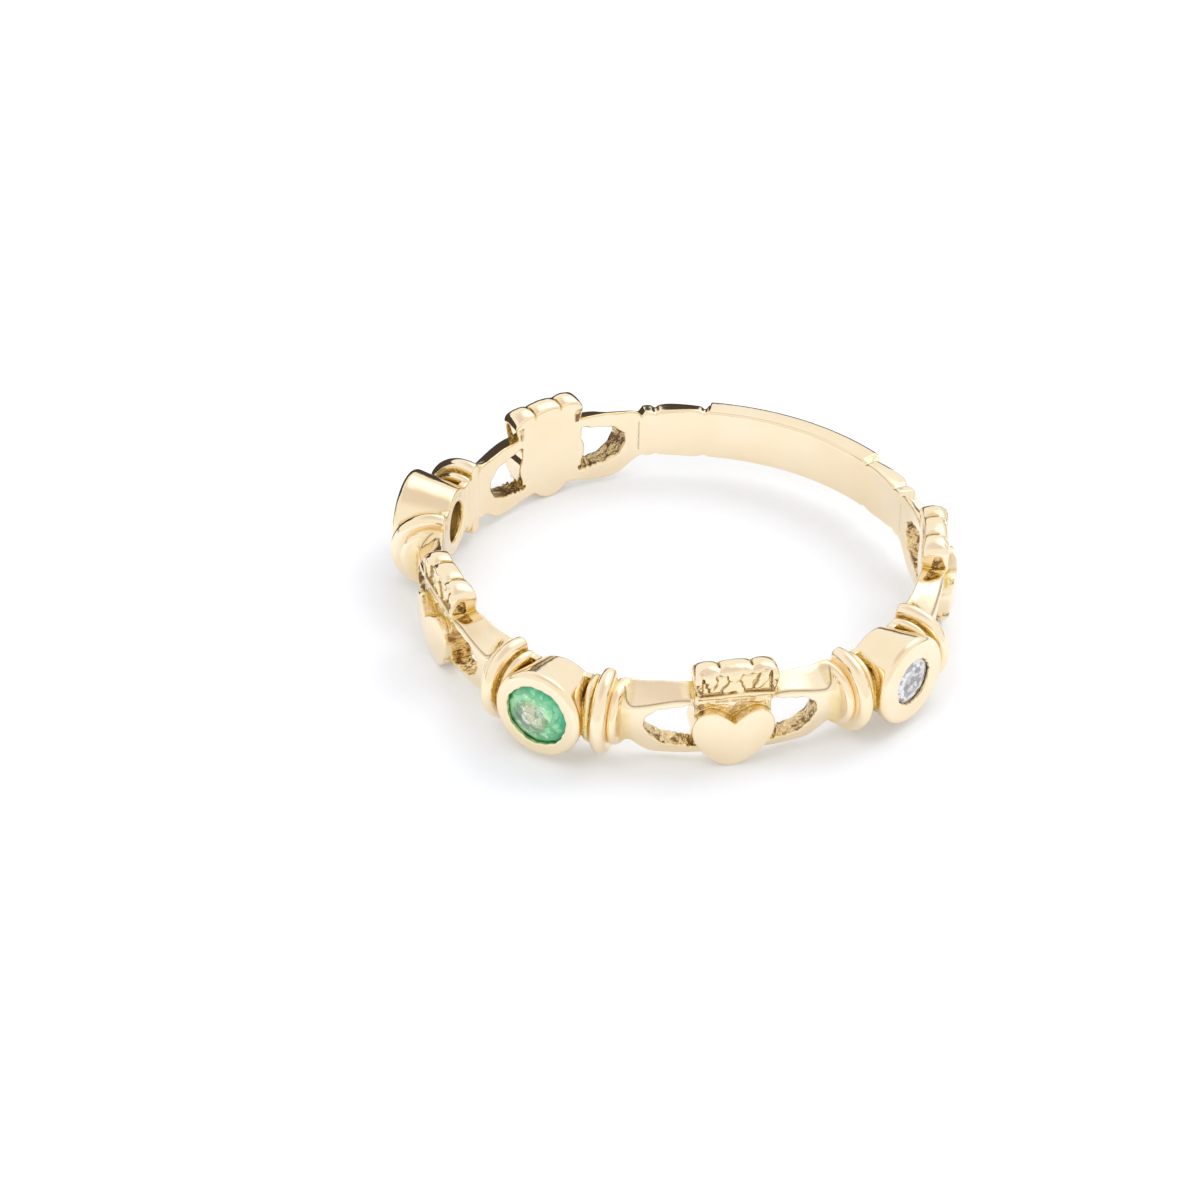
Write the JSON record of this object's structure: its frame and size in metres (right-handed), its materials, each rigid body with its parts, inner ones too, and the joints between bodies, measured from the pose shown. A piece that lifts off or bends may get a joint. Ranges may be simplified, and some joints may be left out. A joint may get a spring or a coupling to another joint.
{
  "type": "claddagh ring",
  "caption": "Slim cast gold finger ring with round bezel-set stones and crowned hearts held by hands, beside a plain shank.",
  "frame": {"origin": "on the finger hole's axis, at mid width of the shank", "axes": "+Z along the finger hole towards the crowns' tops, -Y towards the green stone in the middle of the front"},
  "size_m": [0.0214, 0.0203, 0.004],
  "materials": {
    "gold": "polished yellow gold",
    "green_stone": "faceted and polished",
    "clear_stone": "faceted and polished"
  },
  "bodies": {
    "root": {"cast_band": "gold", "emerald": "green_stone", "diamond_left": "clear_stone", "diamond_right": "clear_stone"}
  },
  "joints": []
}
